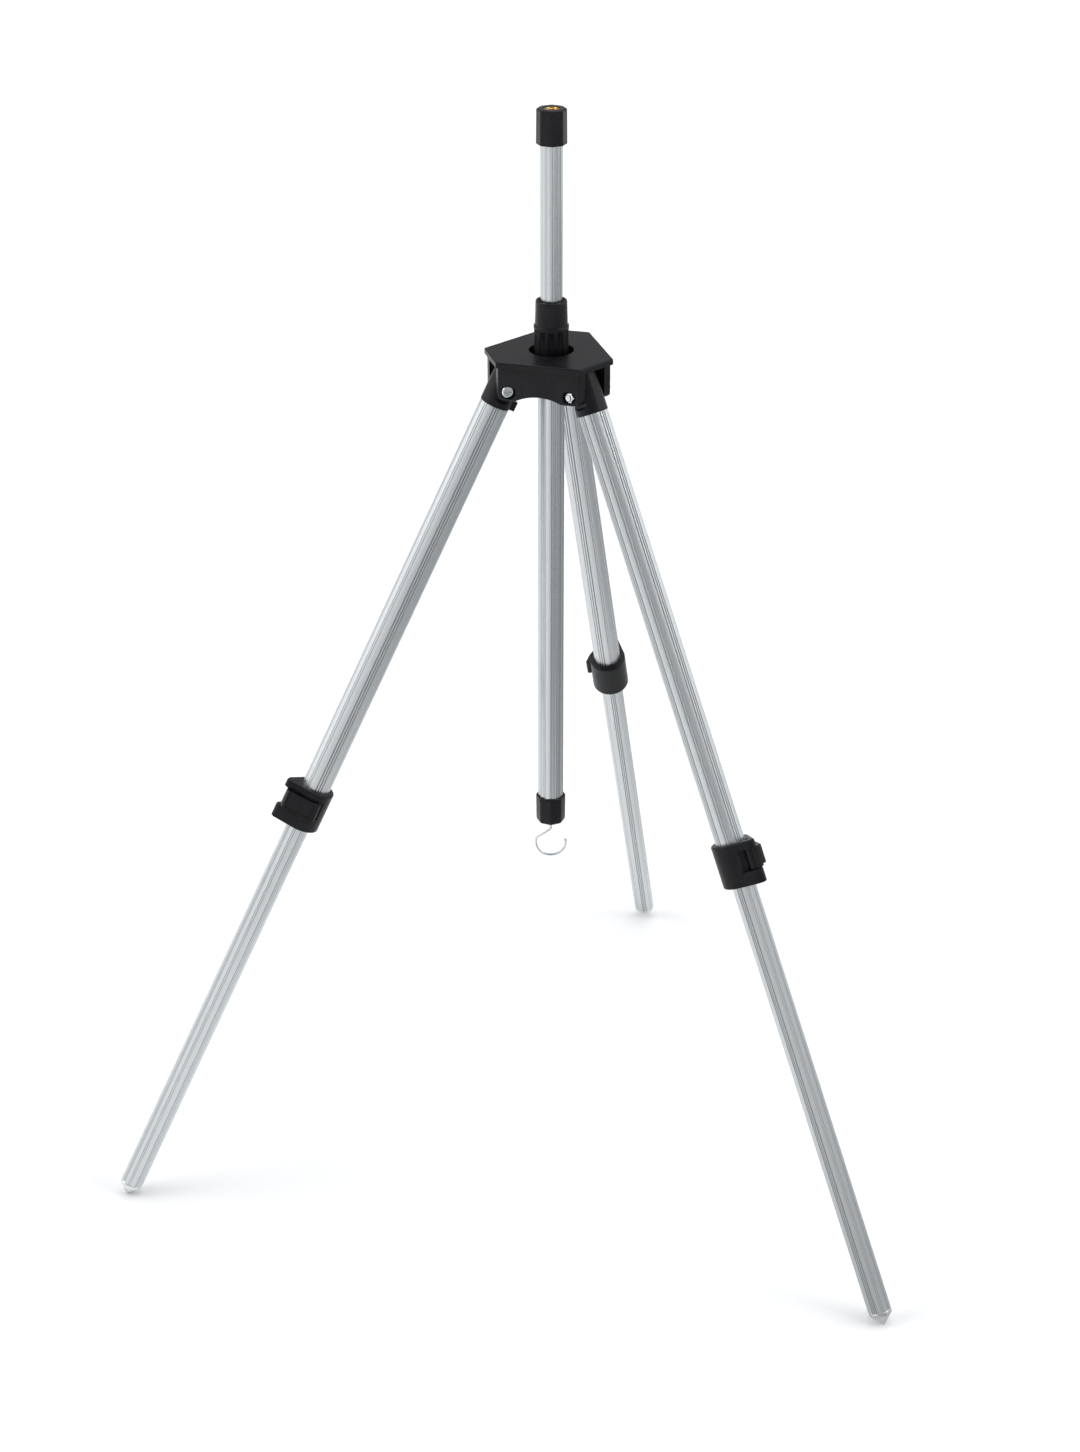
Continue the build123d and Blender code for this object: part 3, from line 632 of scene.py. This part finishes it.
floor_mat, ft, fb = new_material("floor_look", (0.92, 0.925, 0.93), 0.0, 0.85)
fco = ft.nodes.new("ShaderNodeTexCoord")
fno = node(ft, "ShaderNodeTexNoise", Scale=3.0, Detail=2.0, Roughness=0.5)
ft.links.new(fco.outputs["Object"], fno.inputs["Vector"])
fra = ramp(ft, fno.outputs["Fac"], 0.3, 0.7, (0.915, 0.92, 0.925), (0.93, 0.935, 0.94))
ft.links.new(fra.outputs["Color"], fb.inputs["Base Color"])
me = bpy.data.meshes.new("floor")
me.from_pydata([(-9, -9, 0), (9, -9, 0), (9, 9, 0), (-9, 9, 0)], [], [(0, 1, 2, 3)])
floor = bpy.data.objects.new("floor", me)
scene.collection.objects.link(floor)
me.materials.append(floor_mat)

world = bpy.data.worlds.new("studio")
scene.world = world
world.use_nodes = True
wt = world.node_tree
background = wt.nodes["Background"]
background.inputs["Color"].default_value = (0.975, 0.985, 1.0, 1)
where = wt.nodes.new("ShaderNodeTexCoord")


def glow(azimuth, elevation, inner, outer, amount):
    """A soft bright patch of the studio wall."""
    a, e = radians(azimuth), radians(elevation)
    dot = wt.nodes.new("ShaderNodeVectorMath")
    dot.operation = "DOT_PRODUCT"
    dot.inputs[1].default_value = (cos(a) * cos(e), sin(a) * cos(e), sin(e))
    wt.links.new(where.outputs["Generated"], dot.inputs[0])
    fall = wt.nodes.new("ShaderNodeMapRange")
    fall.interpolation_type = "SMOOTHSTEP"
    for key, v in (("From Min", cos(radians(outer))), ("From Max", cos(radians(inner))),
                   ("To Min", 0.0), ("To Max", amount)):
        fall.inputs[key].default_value = v
    wt.links.new(dot.outputs["Value"], fall.inputs["Value"])
    return fall.outputs["Result"]


total = None
for part in (glow(-163, 12, 14, 46, 1.0), glow(18, 16, 12, 42, 0.9)):
    add = wt.nodes.new("ShaderNodeMath")
    add.operation = "ADD"
    add.inputs[0].default_value = 0.44
    if total is not None:
        wt.links.new(total, add.inputs[0])
    wt.links.new(part, add.inputs[1])
    total = add.outputs["Value"]
wt.links.new(total, background.inputs["Strength"])
scene.view_settings.view_transform = "Standard"
scene.view_settings.look = "None"

# a glowing card on the right, seen only in reflections: its emission, near white close to the stand and grey further
# out, is painted light standing in for a grey cloth
reflection_card_mesh = bpy.data.meshes.new("reflection_card")
reflection_card_mesh.from_pydata([(0.05, -2.5, 0.002), (4, -2.5, 0.002), (4, 3, 0.002), (0.05, 3, 0.002)], [], [(0, 1, 2, 3)])
reflection_card = bpy.data.objects.new("reflection_card", reflection_card_mesh)
scene.collection.objects.link(reflection_card)
reflection_card_mat, ct, cb = new_material("reflection_card_look", (0.0, 0.0, 0.0), 0.0, 1.0, 0.0)
cco = ct.nodes.new("ShaderNodeTexCoord")
csep = ct.nodes.new("ShaderNodeSeparateXYZ")
ct.links.new(cco.outputs["Object"], csep.inputs["Vector"])
cra = ramp(ct, csep.outputs["X"], 0.08, 0.55, (0.93, 0.935, 0.94), (0.42, 0.43, 0.44))
ct.links.new(cra.outputs["Color"], cb.inputs["Emission Color"])
cb.inputs["Emission Strength"].default_value = 1.0
reflection_card_mesh.materials.append(reflection_card_mat)
reflection_card.visible_camera = False
reflection_card.visible_diffuse = False
reflection_card.visible_shadow = False
reflection_card.visible_transmission = False

# a pale wall all round the floor, seen only directly, so it lights nothing
wall_ring = [(8.8 * cos(radians(i * 5)), 8.8 * sin(radians(i * 5))) for i in range(72)]
wall_mesh = bpy.data.meshes.new("wall")
wall_mesh.from_pydata([(x, y, 0.0) for x, y in wall_ring] + [(x, y, 14.0) for x, y in wall_ring], [],
                      [(i, (i + 1) % 72, 72 + (i + 1) % 72, 72 + i) for i in range(72)])
wall = bpy.data.objects.new("wall", wall_mesh)
scene.collection.objects.link(wall)
wall_mat, wall_tree, wall_shader = new_material("wall_look", (0.0, 0.0, 0.0), 0.0, 1.0, 0.0)
wall_shader.inputs["Emission Color"].default_value = (0.985, 0.99, 1.0, 1)
wall_shader.inputs["Emission Strength"].default_value = 1.0
wall_mesh.materials.append(wall_mat)
wall.visible_diffuse = False
wall.visible_glossy = False
wall.visible_shadow = False
wall.visible_transmission = False


def soft_sun(name, azimuth, elevation, spread, strength, color=(1, 1, 1)):
    """A wide soft source far away, so that the floor is lit evenly."""
    data = bpy.data.lights.new(name, "SUN")
    data.angle = radians(spread)
    data.energy = strength
    data.color = color
    obj = bpy.data.objects.new(name, data)
    scene.collection.objects.link(obj)
    a, e = radians(azimuth), radians(elevation)
    toward = Vector((cos(a) * cos(e), sin(a) * cos(e), sin(e)))
    obj.location = toward * 3
    obj.rotation_euler = toward.to_track_quat("Z", "Y").to_euler()
    return obj


soft_sun("key_left", -160, 38, 34, 0.75)
soft_sun("key_right", -4, 36, 26, 0.55)
soft_sun("top", 60, 80, 60, 1.15)
